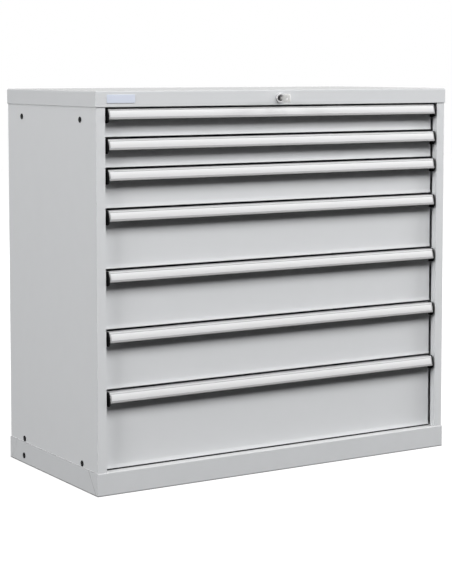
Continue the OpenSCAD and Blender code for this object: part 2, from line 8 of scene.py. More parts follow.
# %% Load the measured cabinet
import json
import math
import bmesh
import bpy
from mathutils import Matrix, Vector

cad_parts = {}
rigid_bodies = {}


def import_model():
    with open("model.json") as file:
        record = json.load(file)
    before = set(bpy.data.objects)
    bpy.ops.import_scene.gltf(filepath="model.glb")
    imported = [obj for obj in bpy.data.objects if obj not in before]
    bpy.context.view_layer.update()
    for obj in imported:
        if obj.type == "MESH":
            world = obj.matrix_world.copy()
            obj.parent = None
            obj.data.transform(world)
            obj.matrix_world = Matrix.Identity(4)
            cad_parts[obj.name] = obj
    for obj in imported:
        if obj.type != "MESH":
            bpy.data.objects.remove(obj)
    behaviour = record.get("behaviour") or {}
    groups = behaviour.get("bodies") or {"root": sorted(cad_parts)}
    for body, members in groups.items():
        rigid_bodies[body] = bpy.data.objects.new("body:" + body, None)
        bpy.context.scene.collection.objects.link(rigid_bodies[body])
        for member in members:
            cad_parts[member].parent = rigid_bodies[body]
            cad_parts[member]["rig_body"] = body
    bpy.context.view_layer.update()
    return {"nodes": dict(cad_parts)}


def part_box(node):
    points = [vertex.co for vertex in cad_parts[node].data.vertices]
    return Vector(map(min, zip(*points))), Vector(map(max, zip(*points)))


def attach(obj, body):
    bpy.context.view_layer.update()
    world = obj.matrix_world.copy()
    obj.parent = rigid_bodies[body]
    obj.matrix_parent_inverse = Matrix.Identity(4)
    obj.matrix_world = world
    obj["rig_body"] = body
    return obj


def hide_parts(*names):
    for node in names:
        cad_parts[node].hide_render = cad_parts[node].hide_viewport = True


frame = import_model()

MM = 0.001
DRAWERS = 7
SMOOTH_ANGLE = math.radians(35)
SAME_POINT = 0.002 * MM

# %% [markdown]
# ## Shapes that sheet metal and extrusions share
# Nearly everything here is either one cross-section drawn out along the cabinet's width,
# or a round turned shape. Both could be modelled by hand from cubes and cylinders, but an
# outline in code keeps the wall thickness and the fold radii true, so each helper takes
# a list of points and adds the finished form to a mesh.

# %% Points on an arc
def arc(centre, radius, start, stop, steps):
    """Points on an arc round centre, with its angles in degrees."""
    turns = [math.radians(start + (stop - start) * k / steps) for k in range(steps + 1)]
    return [(centre[0] + radius * math.cos(a), centre[1] + radius * math.sin(a)) for a in turns]


print("a quarter arc of 4 steps has", len(arc((0, 0), 1, 0, 90, 4)), "points")

# %% A bar from a cross-section
def add_bar(bm, outline, x0, x1):
    """Adds a closed bar: an outline of (y, z) points drawn out from x0 to x1."""
    ends = [[bm.verts.new((x, y, z)) for y, z in outline] for x in (x0, x1)]
    bm.faces.new(ends[0])
    bm.faces.new(ends[1][::-1])
    for k in range(len(outline)):
        n = (k + 1) % len(outline)
        bm.faces.new((ends[0][k], ends[0][n], ends[1][n], ends[1][k]))


# %% A turned shape
def add_turned(bm, profile, place, axis, closed=False, steps=48):
    """Turns (radius, distance) points round an axis "x" or "y" through place."""
    def point(radius, along, turn):
        side, up = radius * math.cos(turn), radius * math.sin(turn)
        return Vector((along, side, up) if axis == "x" else (side, along, up)) + Vector(place)

    rings = []
    for radius, along in profile:
        if radius == 0:
            rings.append([bm.verts.new(point(0, along, 0))] * steps)
        else:
            rings.append([bm.verts.new(point(radius, along, math.tau * k / steps))
                          for k in range(steps)])
    pairs = list(zip(rings, rings[1:])) + ([(rings[-1], rings[0])] if closed else [])
    for near, far in pairs:
        for k in range(steps):
            corners = [near[k - 1], near[k], far[k], far[k - 1]]
            bm.faces.new(list(dict.fromkeys(corners)))


print("helpers for drawn-out and turned shapes are ready")

# %% [markdown]
# ## From mesh to piece
# A mesh becomes a piece of the cabinet when it stands for a measured part, moves with that
# part's body and knows which finish it wears. Real edges are never razor sharp, so most
# pieces also get a narrow bevel. Shading normals weighted by face area then keep the flats
# flat and leave the bend to the bevel.

# %% Soft edges
def soften(piece, width, segments=2, sharper_than=SMOOTH_ANGLE):
    """Rounds the edges that turn more than an angle by width, in metres."""
    bevel = piece.modifiers.new("soft_edges", "BEVEL")
    bevel.width = width
    bevel.segments = segments
    bevel.limit_method = "ANGLE"
    bevel.angle_limit = sharper_than
    bevel.use_clamp_overlap = True


def keep_flats(piece):
    """Weights the shading normals by face area, so that large flats stay flat."""
    shading = piece.modifiers.new("flat_shading", "WEIGHTED_NORMAL")
    shading.mode = "FACE_AREA"
    shading.weight = 100


# %% Make a piece and let it ride
def new_piece(name, bm, finish, nodes, edge=0.0, segments=2):
    """Turns a mesh into a piece that replaces measured nodes of one body."""
    bmesh.ops.recalc_face_normals(bm, faces=bm.faces)
    mesh = bpy.data.meshes.new(name)
    bm.to_mesh(mesh)
    bm.free()
    mesh.shade_smooth()
    mesh.set_sharp_from_angle(angle=SMOOTH_ANGLE)
    mesh.materials.append(finish)
    piece = bpy.data.objects.new(name, mesh)
    bpy.context.scene.collection.objects.link(piece)
    if edge:
        soften(piece, edge, segments)
        keep_flats(piece)
    body = frame["nodes"][nodes[0]]["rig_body"]
    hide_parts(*nodes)
    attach(piece, body)
    return piece


# %% Dress a measured part
FLAT_ANGLE = math.radians(0.5)


def dress(node, finish, edge=0.0, segments=2):
    """Gives a measured part its finish and, where asked, soft edges."""
    part = frame["nodes"][node]
    if not part.material_slots:
        part.data.materials.append(finish)
    for place in part.material_slots:
        place.material = finish
    if edge:
        weld = part.modifiers.new("joined_corners", "WELD")
        weld.merge_threshold = SAME_POINT
        flats = part.modifiers.new("whole_flats", "DECIMATE")
        flats.decimate_type = "DISSOLVE"
        flats.angle_limit = FLAT_ANGLE
        soften(part, edge, segments)
        keep_flats(part)
    return part


print("pieces can now be made and dressed")

# %% [markdown]
# ## Effects that several finishes share
# Powder coat is sprayed as dust and melted, so its skin is finely pebbled and never quite
# even. Drawn and rolled metal has lines along its length. Dust settles on what faces up;
# the same darkening of upward faces, turned high on the lid and the plinth, is painted
# shade on their tops.
# Each effect is one node group, used by several materials with different values. They
# measure in object space, so the grain keeps its real size on every piece.

# %% A node group with named sockets
def new_group(name, inputs, outputs):
    """Starts a shader node group; inputs is {name: default value}."""
    group = bpy.data.node_groups.new(name, "ShaderNodeTree")
    for label, value in inputs.items():
        socket = group.interface.new_socket(label, in_out="INPUT", socket_type="NodeSocketFloat")
        socket.default_value = value
    for label in outputs:
        group.interface.new_socket(label, in_out="OUTPUT", socket_type="NodeSocketFloat")
    return group, group.nodes.new("NodeGroupInput"), group.nodes.new("NodeGroupOutput")


def add_math(tree, operation, *values):
    """Adds a math node whose values are numbers or output sockets; returns its output."""
    node = tree.nodes.new("ShaderNodeMath")
    node.operation = operation
    for place, value in zip(node.inputs, values):
        if isinstance(value, (int, float)):
            place.default_value = value
        else:
            tree.links.new(value, place)
    return node.outputs[0]


def add_noise(tree, scale, detail, stretch=(1, 1, 1)):
    """Adds noise in object space; scale is in features per metre or a socket."""
    spot = tree.nodes.new("ShaderNodeTexCoord")
    squeeze = tree.nodes.new("ShaderNodeMapping")
    squeeze.inputs["Scale"].default_value = stretch
    noise = tree.nodes.new("ShaderNodeTexNoise")
    noise.inputs["Detail"].default_value = detail
    tree.links.new(spot.outputs["Object"], squeeze.inputs["Vector"])
    tree.links.new(squeeze.outputs["Vector"], noise.inputs["Vector"])
    if isinstance(scale, (int, float)):
        noise.inputs["Scale"].default_value = scale
    else:
        tree.links.new(scale, noise.inputs["Scale"])
    return noise.outputs["Fac"]


print("node group helpers are ready")

# %% Powder grain
powder, given, gives = new_group(
    "powder_grain", {"Grains per metre": 700.0, "Clouds per metre": 22.0, "Cloud strength": 0.03},
    ["Height", "Shade", "Roughness shift"])
grains = add_noise(powder, given.outputs["Grains per metre"], 1.5)
clouds = add_noise(powder, given.outputs["Clouds per metre"], 3.0)
cloud_shade = add_math(powder, "MULTIPLY", add_math(powder, "SUBTRACT", clouds, 0.5),
                       given.outputs["Cloud strength"])
powder.links.new(grains, gives.inputs["Height"])
powder.links.new(add_math(powder, "ADD", cloud_shade, 1.0), gives.inputs["Shade"])
powder.links.new(add_math(powder, "MULTIPLY", add_math(powder, "SUBTRACT", grains, 0.5), 0.25),
                 gives.inputs["Roughness shift"])
print("powder grain:", len(powder.nodes), "nodes")

# %% Drawn lines
drawn, given, gives = new_group(
    "drawn_lines", {"Lines per metre": 900.0, "Line strength": 0.06}, ["Height", "Shade"])
lines = add_noise(drawn, given.outputs["Lines per metre"], 2.0, (0.01, 1, 1))
line_shade = add_math(drawn, "MULTIPLY", add_math(drawn, "SUBTRACT", lines, 0.5),
                      given.outputs["Line strength"])
drawn.links.new(lines, gives.inputs["Height"])
drawn.links.new(add_math(drawn, "ADD", line_shade, 1.0), gives.inputs["Shade"])
print("drawn lines:", len(drawn.nodes), "nodes")

# %% Settled dust and painted shade on upward faces
dust_shade_group, given, gives = new_group("settled_dust_and_shade", {"Amount": 0.04}, ["Cover"])
facing = dust_shade_group.nodes.new("ShaderNodeNewGeometry")
split = dust_shade_group.nodes.new("ShaderNodeSeparateXYZ")
dust_shade_group.links.new(facing.outputs["Normal"], split.inputs[0])
upward = add_math(dust_shade_group, "MAXIMUM", split.outputs["Z"], 0.0)
patches = add_math(dust_shade_group, "MULTIPLY_ADD", add_noise(dust_shade_group, 60.0, 4.0), 0.4, 0.8)
cover = add_math(dust_shade_group, "MULTIPLY", add_math(dust_shade_group, "MULTIPLY", upward, patches),
                 given.outputs["Amount"])
dust_shade_group.links.new(cover, gives.inputs["Cover"])
print("settled dust:", len(dust_shade_group.nodes), "nodes")

# %% [markdown]
# ## The finishes
# One function places the shared groups in a material, each with its own values. Shine,
# coat and metal stay as plain numbers on the shader, because they are the same all over
# a piece; only colour, roughness and height change over the surface.

# %% A finish from colour and effects
# Grey of settled dust, also used for the painted shade on the lid's and the plinth's upward
# faces.
DUST_SHADE_GREY = (0.40, 0.40, 0.395)


def new_finish(name, colour, roughness, metallic=0.0, group=None, values=None, relief=0.02,
               dust_shade_amount=0.0, specular=0.5, coat=0.0):
    """A material: group is the shared effect, relief its depth in millimetres."""
    material = bpy.data.materials.new(name)
    material.use_nodes = True
    material.diffuse_color = (*colour, 1)
    tree = material.node_tree
    shader = tree.nodes["Principled BSDF"]
    shader.inputs["Metallic"].default_value = metallic
    shader.inputs["Specular IOR Level"].default_value = specular
    shader.inputs["Coat Weight"].default_value = coat
    shader.inputs["Roughness"].default_value = roughness
    effect = tree.nodes.new("ShaderNodeGroup")
    effect.node_tree = group
    for label, value in (values or {}).items():
        effect.inputs[label].default_value = value
    bump = tree.nodes.new("ShaderNodeBump")
    bump.inputs["Distance"].default_value = relief * MM
    tree.links.new(effect.outputs["Height"], bump.inputs["Height"])
    tree.links.new(bump.outputs["Normal"], shader.inputs["Normal"])
    shaded = tree.nodes.new("ShaderNodeVectorMath")
    shaded.operation = "SCALE"
    shaded.inputs[0].default_value = colour
    tree.links.new(effect.outputs["Shade"], shaded.inputs["Scale"])
    dust_shade_node = tree.nodes.new("ShaderNodeGroup")
    dust_shade_node.node_tree = dust_shade_group
    dust_shade_node.inputs["Amount"].default_value = dust_shade_amount
    blend = tree.nodes.new("ShaderNodeMix")
    blend.data_type = "RGBA"
    blend.inputs[7].default_value = (*DUST_SHADE_GREY, 1)
    tree.links.new(dust_shade_node.outputs["Cover"], blend.inputs["Factor"])
    tree.links.new(shaded.outputs[0], blend.inputs[6])
    tree.links.new(blend.outputs[2], shader.inputs["Base Color"])
    if "Roughness shift" in effect.outputs:
        tree.links.new(add_math(tree, "ADD", effect.outputs["Roughness shift"], roughness),
                       shader.inputs["Roughness"])
    return material


GREY = (0.640, 0.650, 0.662)
finishes = {
    "paint": new_finish("grey_powder_coat", GREY, 0.5, group=powder, relief=0.03, dust_shade_amount=0.1,
                        specular=0.2),
    # The lid and the plinth take a far larger dust amount: beyond real dust, it is painted shade
    # that darkens their upward faces and the plinth's shelf.
    "lid_paint": new_finish("lid_powder_coat", GREY, 0.5, group=powder, relief=0.03, dust_shade_amount=0.7,
                            specular=0.0),
    "plinth_paint": new_finish("plinth_powder_coat", (0.60, 0.61, 0.622), 0.55, group=powder,
                               values={"Cloud strength": 0.05}, relief=0.035, dust_shade_amount=0.6,
                               specular=0.2),
    "tray_paint": new_finish("tray_powder_coat", (0.62, 0.63, 0.64), 0.45, group=powder,
                             values={"Grains per metre": 450.0}, relief=0.02, dust_shade_amount=0.1,
                             specular=0.35),
}
print("painted finishes:", ", ".join(finishes))

# %% Metals, plastics and the strips
finishes.update({
    "zinc": new_finish("zinc_plate", (0.56, 0.57, 0.58), 0.38, 0.9, drawn, {"Line strength": 0.2},
                       relief=0.01, dust_shade_amount=0.1),
    "carriage_steel": new_finish("carriage_zinc", (0.52, 0.53, 0.54), 0.34, 0.95, drawn,
                                 {"Line strength": 0.25}, relief=0.01),
    "steel": new_finish("drawn_steel", (0.45, 0.46, 0.47), 0.3, 1.0, drawn,
                        {"Line strength": 0.2}, relief=0.008),
    "aluminium": new_finish("satin_aluminium", (0.355, 0.355, 0.36), 0.55, 0.25, drawn,
                            {"Line strength": 0.08}, relief=0.004),
    "label": new_finish("label_strip", (0.63, 0.63, 0.635), 0.35, 0.0, drawn,
                        {"Line strength": 0.03}, relief=0.003, specular=0.25),
    "black_plastic": new_finish("black_moulded_plastic", (0.004, 0.004, 0.0045), 0.6, 0.0, powder,
                                {"Grains per metre": 1400.0, "Cloud strength": 0.3}, relief=0.02,
                                specular=0.08),
    "lock_chrome": new_finish("satin_chrome", (0.42, 0.42, 0.425), 0.36, 1.0, drawn,
                              {"Lines per metre": 1500.0, "Line strength": 0.1}, relief=0.004),
    "key_metal": new_finish("nickel_silver", (0.7, 0.695, 0.68), 0.42, 0.6, drawn,
                            {"Lines per metre": 1500.0, "Line strength": 0.1}, relief=0.004),
    "plate": new_finish("plate_enamel", (0.63, 0.67, 0.77), 0.35, 0.0, powder,
                        {"Cloud strength": 0.04}, relief=0.01, specular=0.2, coat=0.1),
})
print("finishes in all:", len(finishes))

# %% [markdown]
# ### Painted shade and seams
# Painted shade darkens the plinth's foot along the floor, the plinth's shelf under the lowest
# drawer and the keyway, where shadow falls. The plinth's top outside the posts, where the
# casing stands on it, is painted a darker grey too. Each is a mask made from an
# object's own coordinates, and the mask blends a darker colour into the finish. The
# diagonal seam where the plinth's front folds round the corner is a mask too, one that
# keeps close to a straight line.

# %% Masks from places
def ramp(tree, value, full, none):
    """One where the value is at full, falling to zero where it is at none."""
    node = tree.nodes.new("ShaderNodeMapRange")
    for label, number in zip(("From Min", "From Max", "To Min", "To Max"), (full, none, 1, 0)):
        node.inputs[label].default_value = number
    tree.links.new(value, node.inputs["Value"])
    return node.outputs["Result"]


def add_vector(tree, operation, given, *constants):
    """Adds a vector node and returns its number for lengths and dots, else its vector."""
    node = tree.nodes.new("ShaderNodeVectorMath")
    node.operation = operation
    tree.links.new(given, node.inputs[0])
    for k, constant in enumerate(constants):
        node.inputs[k + 1].default_value = constant
    return node.outputs["Value" if operation in ("LENGTH", "DOT_PRODUCT") else "Vector"]


def cover_where(material, mask, colour):
    """Blends a colour over a finish wherever the mask is one."""
    tree = material.node_tree
    shader = tree.nodes["Principled BSDF"]
    clean = shader.inputs["Base Color"].links[0].from_socket
    blend = tree.nodes.new("ShaderNodeMix")
    blend.data_type = "RGBA"
    blend.inputs[7].default_value = (*colour, 1)
    tree.links.new(mask, blend.inputs["Factor"])
    tree.links.new(clean, blend.inputs[6])
    tree.links.new(blend.outputs[2], shader.inputs["Base Color"])


print("mask helpers are ready")

# %% Painted shade, a darker step and a seam on the plinth
PLINTH_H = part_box("plinth_sides")[1][2]
POST_END, SIDE_FACE, FRONT_DEPTH = 517 * MM, 541 * MM, 14 * MM
SEAM_TOP, SEAM_LOW = (-206 * MM, PLINTH_H), (-245.3 * MM, 4 * MM)
SEAM_GREY, STEP_GREY = (0.3, 0.3, 0.305), (0.42, 0.42, 0.425)
FOOT_SHADE_GREY, GAP_SHADE_BLACK = (0.2, 0.2, 0.205), (0.02, 0.02, 0.02)
sheet = finishes["plinth_paint"].node_tree
spot = sheet.nodes.new("ShaderNodeTexCoord")
parts = sheet.nodes.new("ShaderNodeSeparateXYZ")
sheet.links.new(spot.outputs["Object"], parts.inputs[0])
sideways = add_math(sheet, "ABSOLUTE", parts.outputs["X"], 0.0)
height = parts.outputs["Z"]
seam_length = math.dist(SEAM_TOP, SEAM_LOW)
across = ((SEAM_TOP[1] - SEAM_LOW[1]) / seam_length, (SEAM_LOW[0] - SEAM_TOP[0]) / seam_length)
from_seam = add_vector(sheet, "DOT_PRODUCT", spot.outputs["Object"], (0, across[0], across[1]))
seam_at = across[0] * SEAM_TOP[0] + across[1] * SEAM_TOP[1]
from_seam = add_math(sheet, "ABSOLUTE", add_math(sheet, "SUBTRACT", from_seam, seam_at), 0.0)
seam = add_math(sheet, "MULTIPLY", ramp(sheet, from_seam, 0.5 * MM, 0.9 * MM),
                ramp(sheet, sideways, SIDE_FACE, SIDE_FACE - 0.5 * MM))
cover_where(finishes["plinth_paint"], seam, SEAM_GREY)
# The plinth's top outside the posts, where the casing stands on it, is painted a darker grey.
on_top = ramp(sheet, height, PLINTH_H - 0.4 * MM, PLINTH_H - 1.0 * MM)
step = add_math(sheet, "MULTIPLY", on_top, ramp(sheet, sideways, POST_END, POST_END - 1 * MM))
cover_where(finishes["plinth_paint"], step, STEP_GREY)
# Painted shadow: the plinth's shelf just behind the lowest drawer's lip is painted near black,
# for the shade in the gap under that drawer.
FRONT_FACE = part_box("drawer_7_front")[1][1] - FRONT_DEPTH
shade_behind_lip = add_math(sheet, "MULTIPLY", on_top,
                  ramp(sheet, parts.outputs["Y"], FRONT_FACE, FRONT_FACE - 1 * MM))
shade_behind_lip = add_math(sheet, "MULTIPLY", shade_behind_lip,
                  ramp(sheet, sideways, POST_END - 5 * MM, POST_END - 3 * MM))
cover_where(finishes["plinth_paint"], shade_behind_lip, GAP_SHADE_BLACK)
# Painted shade: a dark band along the plinth's foot stands in for the shadow line where it meets
# the floor.
cover_where(finishes["plinth_paint"], ramp(sheet, height, 1.4 * MM, 3.4 * MM), FOOT_SHADE_GREY)
print("plinth height:", round(1000 * PLINTH_H, 1), "mm")

# %% [markdown]
# ## The camera
# The photograph was taken from the cabinet's left, a little above its lid, with a long
# lens. Its uprights stay parallel, which a camera gets by looking nearly level and
# shifting its lens downwards. This camera tilts down a little and shifts its lens by
# less, so that the other views, which keep the shift, still hold the whole cabinet.

# %% Place the camera
CAMERA_AT = (-2.4279, -3.8881, 1.0544)
LOOK_RIGHT = math.radians(31.866)
LOOK_DOWN = math.radians(4.425)
LENS, SENSOR, SHIFT_DOWN = 103.80, 36.0, -0.16
lens = bpy.data.cameras.new("photo_camera")
lens.sensor_width = SENSOR
lens.lens = LENS
lens.shift_y = SHIFT_DOWN
lens.clip_end = 60.0
camera = bpy.data.objects.new("photo_camera", lens)
camera.location = CAMERA_AT
camera.rotation_euler = (math.pi / 2 - LOOK_DOWN, 0, -LOOK_RIGHT)
bpy.context.scene.collection.objects.link(camera)
bpy.context.scene.camera = camera
print("the camera looks", round(math.degrees(LOOK_RIGHT), 1), "degrees to the right")

# %% [markdown]
# ## Studio light and floor
# A broad panel high in front throws the handles' long soft shadows down the drawer fronts,
# and lights the top. Three weaker ones keep both sides and the back from falling dark. The
# floor and the background are white to the camera, and the floor still takes the cabinet's
# shadow.

# %% Light panels
def add_panel(name, place, aim, size, watts):
    """A rectangular light of size (width, height) metres, aimed at a point."""
    light = bpy.data.lights.new(name, "AREA")
    light.shape = "RECTANGLE"
    light.size, light.size_y = size
    light.energy = watts
    panel = bpy.data.objects.new(name, light)
    panel.location = place
    panel.rotation_euler = (Vector(aim) - Vector(place)).to_track_quat("-Z", "Y").to_euler()
    bpy.context.scene.collection.objects.link(panel)
    return panel


add_panel("front_panel", (2.6, -5.5, 7.25), (2.6, 0, 1.0), (14.0, 3.6), 1080.0)
add_panel("left_panel", (-7.0, -2.0, 3.1), (-0.4, -0.2, 0.6), (2.1, 1.7), 350.0)
add_panel("right_panel", (7.0, -2.0, 3.1), (0.4, -0.2, 0.6), (2.1, 1.7), 350.0)
add_panel("rear_panel", (0, 5.5, 3.6), (0, 0.25, 0.6), (6.5, 2.2), 400.0)
print("light panels:", len(bpy.data.lights))

# %% World and floor
def white_for_camera(tree, plain, white, output, sockets=("Is Camera Ray", "Is Glossy Ray",
                                                          "Is Transmission Ray")):
    """Shows white to the camera and in reflections, and plain to all other rays."""
    path = tree.nodes.new("ShaderNodeLightPath")
    seen = path.outputs[sockets[0]]
    for label in sockets[1:]:
        seen = add_math(tree, "MAXIMUM", seen, path.outputs[label])
    mix = tree.nodes.new("ShaderNodeMixShader")
    tree.links.new(seen, mix.inputs[0])
    tree.links.new(plain, mix.inputs[1])
    tree.links.new(white, mix.inputs[2])
    tree.links.new(mix.outputs[0], output)


AMBIENT = 0.012
world = bpy.data.worlds.new("studio")
bpy.context.scene.world = world
world.use_nodes = True
tree = world.node_tree
ambient = tree.nodes["Background"]
ambient.inputs["Color"].default_value = (1, 1, 1, 1)
ambient.inputs["Strength"].default_value = AMBIENT
backdrop = tree.nodes.new("ShaderNodeBackground")
backdrop.inputs["Color"].default_value = (1, 1, 1, 1)
backdrop.inputs["Strength"].default_value = 1.0
white_for_camera(tree, ambient.outputs[0], backdrop.outputs[0],
                 tree.nodes["World Output"].inputs["Surface"])

NEAR_GLOW, FAR_GLOW = 0.93, 1.0
FADE_START, FADE_END = 0.5, 1.8
FLOOR_GREY, VEIL_GREY, FLOOR_HALF, FLOOR_Z = 0.03, 0.12, 12.0, -0.8 * MM
floor_finish = bpy.data.materials.new("studio_floor")
floor_finish.use_nodes = True
tree = floor_finish.node_tree
matt = tree.nodes["Principled BSDF"]
matt.inputs["Base Color"].default_value = (FLOOR_GREY, FLOOR_GREY, FLOOR_GREY, 1)
matt.inputs["Roughness"].default_value = 0.9
matt.inputs["Specular IOR Level"].default_value = 0.0
spot = tree.nodes.new("ShaderNodeTexCoord")
far = tree.nodes.new("ShaderNodeVectorMath")
far.operation = "LENGTH"
tree.links.new(spot.outputs["Object"], far.inputs[0])
fade = tree.nodes.new("ShaderNodeMapRange")
for label, value in zip(("From Min", "From Max", "To Min", "To Max"),
                        (FADE_START, FADE_END, NEAR_GLOW, FAR_GLOW)):
    fade.inputs[label].default_value = value
tree.links.new(far.outputs["Value"], fade.inputs["Value"])
glow = tree.nodes.new("ShaderNodeEmission")
tree.links.new(fade.outputs["Result"], glow.inputs["Strength"])
veil = tree.nodes.new("ShaderNodeBsdfDiffuse")
veil.inputs["Color"].default_value = (VEIL_GREY, VEIL_GREY, VEIL_GREY, 1)
both = tree.nodes.new("ShaderNodeAddShader")
tree.links.new(glow.outputs[0], both.inputs[0])
tree.links.new(veil.outputs[0], both.inputs[1])
white_for_camera(tree, matt.outputs[0], both.outputs[0],
                 tree.nodes["Material Output"].inputs["Surface"])
bm = bmesh.new()
bmesh.ops.create_grid(bm, x_segments=8, y_segments=8, size=FLOOR_HALF)
floor_mesh = bpy.data.meshes.new("studio_floor")
bm.to_mesh(floor_mesh)
bm.free()
floor_mesh.materials.append(floor_finish)
floor = bpy.data.objects.new("studio_floor", floor_mesh)
floor.location = (0, 0, FLOOR_Z)
bpy.context.scene.collection.objects.link(floor)
bpy.context.scene.view_settings.view_transform = "Standard"
print("floor and background are white to the camera")

# %% [markdown]
# ## The casing
# Two side panels fold round into the front posts, and a back, a floor and a lid close the
# box. Their measured solids already have the folds, so they keep their shape and only get
# the powder coat and the small radius that a press brake leaves on every outer corner.

# %% Casing sheets
FOLD, THIN_EDGE, TRAY_EDGE = 0.5 * MM, 0.3 * MM, 0.35 * MM
for node in ("side_panel_left", "side_panel_right", "back_panel", "floor_panel"):
    dress(node, finishes["paint"], FOLD)
dress("lid", finishes["lid_paint"], FOLD)
for node in ("plinth_front", "plinth_back", "plinth_sides"):
    dress(node, finishes["plinth_paint"], FOLD)
print("casing sheets dressed")

# %% Runners, lock bar and shaft
for node in ("runners_left", "runners_right", "lock_guides", "lock_bar"):
    dress(node, finishes["zinc"], THIN_EDGE, 1)
dress("lock_shaft", finishes["steel"])
dress("lock_barrel", finishes["lock_chrome"])
for n in range(1, DRAWERS + 1):
    dress(f"drawer_{n}_tray", finishes["tray_paint"], TRAY_EDGE, 1)
    dress(f"drawer_{n}_carriages", finishes["carriage_steel"])
print("inner parts dressed")

# %% [markdown]
# ## Drawer fronts
# Each front is one sheet: a flat face that kicks forward into a slanted lip along its
# lower edge, with flanges on all four sides and two hems that lie on the drawer's box.
# A solid block with bevels would look the same closed, but the drawers open and show their
# edges, so the front is built as the sheet's outer skin, folded with a bevel, and then
# given its thickness. Its top edge ends a little below the handle's ledge, which hides it.

# %% Build the fronts
SHEET, LIP_H, LIP_OUT, HEM, TOP_CUT = 1.2 * MM, 9.5 * MM, 1.3 * MM, 8 * MM, 1.5 * MM
BEND_R, LIP_BEND = 1.0 * MM, math.radians(5)


def build_front(n):
    low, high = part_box(f"drawer_{n}_front")
    tray_low, tray_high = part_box(f"drawer_{n}_tray")
    face = high[1] - FRONT_DEPTH
    back, top = high[1], high[2] - TOP_CUT
    skin = [(back, tray_high[2] - HEM), (back, top), (face, top),
            (face, low[2] + LIP_H), (face - LIP_OUT, low[2]), (back, low[2]),
            (back, tray_low[2] + HEM)]
    bm = bmesh.new()
    sides = [[bm.verts.new((x, y, z)) for y, z in skin] for x in (low[0], high[0])]
    for k in range(len(skin) - 1):
        bm.faces.new((sides[0][k], sides[1][k], sides[1][k + 1], sides[0][k + 1]))
    bm.faces.new(sides[0][1:6])
    bm.faces.new(sides[1][1:6][::-1])
    bmesh.ops.recalc_face_normals(bm, faces=bm.faces)
    bm.faces.ensure_lookup_table()
    if bm.faces[2].normal.y > 0:
        bmesh.ops.reverse_faces(bm, faces=bm.faces)
    mesh = bpy.data.meshes.new(f"front_sheet_{n}")
    bm.to_mesh(mesh)
    bm.free()
    mesh.shade_smooth()
    mesh.materials.append(finishes["paint"])
    piece = bpy.data.objects.new(f"front_sheet_{n}", mesh)
    bpy.context.scene.collection.objects.link(piece)
    soften(piece, BEND_R, 3, LIP_BEND)
    wall = piece.modifiers.new("sheet_thickness", "SOLIDIFY")
    wall.thickness = SHEET
    wall.offset = -1.0
    wall.use_even_offset = True
    keep_flats(piece)
    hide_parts(f"drawer_{n}_front")
    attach(piece, f"drawer_{n}")
    return piece


fronts = [build_front(n) for n in range(1, DRAWERS + 1)]
print("drawer fronts:", len(fronts))

# %% [markdown]
# ## Grip handles
# The handle is one aluminium extrusion: a leg screwed to the front, a flat ledge, a curved
# face and a finger rib below. Drawn out from its true cross-section it needs no bevels,
# because the small radii of the die are points of the outline. Its curved face has a
# shallow bed for the label strip.

# %% The handle's cross-section
REACH, GRIP_H, DROP, LEDGE, WALL = 23 * MM, 24.6 * MM, 0.4 * MM, 16 * MM, 2 * MM
LEG, RIB_W, RIB_T, STRIP, DIE_R = 18 * MM, 5 * MM, 1.5 * MM, 0.8 * MM, 0.5 * MM
run_out = REACH - LEDGE
GRIP_R = (run_out ** 2 + GRIP_H ** 2) / (2 * run_out)
GRIP_C = (REACH - GRIP_R, DROP + GRIP_H)
GRIP_A = math.degrees(math.asin(GRIP_H / GRIP_R))
BED = (0.14 * GRIP_A, 0.82 * GRIP_A)
CURVE_STEPS = 20


def grip(radius, start, stop, steps=CURVE_STEPS):
    """Points forward and down on the handle's curve, between angles from its foot."""
    return arc(GRIP_C, radius, -start, -stop, steps)


def on_front(points, n):
    """Turns points forward and down from a front's top edge into (y, z) points."""
    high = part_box(f"drawer_{n}_front")[1]
    face = high[1] - FRONT_DEPTH
    return [(face - forward, high[2] - down) for forward, down in points]


inner_top = math.degrees(math.asin((GRIP_H - WALL) / (GRIP_R - WALL)))
foot = GRIP_C[1]
SHOULDER_R = 2.6 * MM
shoulder = (LEDGE - 0.55 * SHOULDER_R, DROP + SHOULDER_R)
HANDLE = ([(0, DROP)] + [(shoulder[0] + a, shoulder[1] - b) for a, b in
                         arc((0, 0), SHOULDER_R, 90, 34, 8)]
          + grip(GRIP_R, BED[1] + 0.9, BED[1], 1) + grip(GRIP_R - STRIP, BED[1], BED[0])
          + grip(GRIP_R, BED[0], 0.6, 4)
          + [(REACH, foot + RIB_T - DIE_R), (REACH - DIE_R, foot + RIB_T),
             (REACH - RIB_W + DIE_R, foot + RIB_T), (REACH - RIB_W, foot + RIB_T - DIE_R),
             (REACH - RIB_W, foot)]
          + grip(GRIP_R - WALL, 1, inner_top)
          + [(WALL, DROP + WALL), (WALL, DROP + LEG), (0, DROP + LEG)])
print("points in the handle's cross-section:", len(HANDLE))

# %% Draw out the handles and their strips
STRIP_GAP, STRIP_PLAY = 1.0 * MM, 0.05 * MM
strip_top = BED[1] - math.degrees(STRIP_GAP / GRIP_R)
strip_low = BED[0] + 0.25


def build_handle(n):
    low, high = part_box(f"drawer_{n}_handle")
    bm = bmesh.new()
    add_bar(bm, on_front(HANDLE, n), low[0], high[0])
    return new_piece(f"handle_{n}", bm, finishes["aluminium"],
                     [f"drawer_{n}_handle"])


def build_strip(n):
    low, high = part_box(f"drawer_{n}_label_strip")
    outline = (grip(GRIP_R - STRIP + STRIP_PLAY, strip_low, strip_top)
               + grip(GRIP_R - STRIP_PLAY, strip_top, strip_low))
    bm = bmesh.new()
    add_bar(bm, on_front(outline, n), low[0], high[0])
    return new_piece(f"strip_{n}", bm, finishes["label"], [f"drawer_{n}_label_strip"])


for n in range(1, DRAWERS + 1):
    build_handle(n)
    build_strip(n)
print("handles and label strips:", DRAWERS)

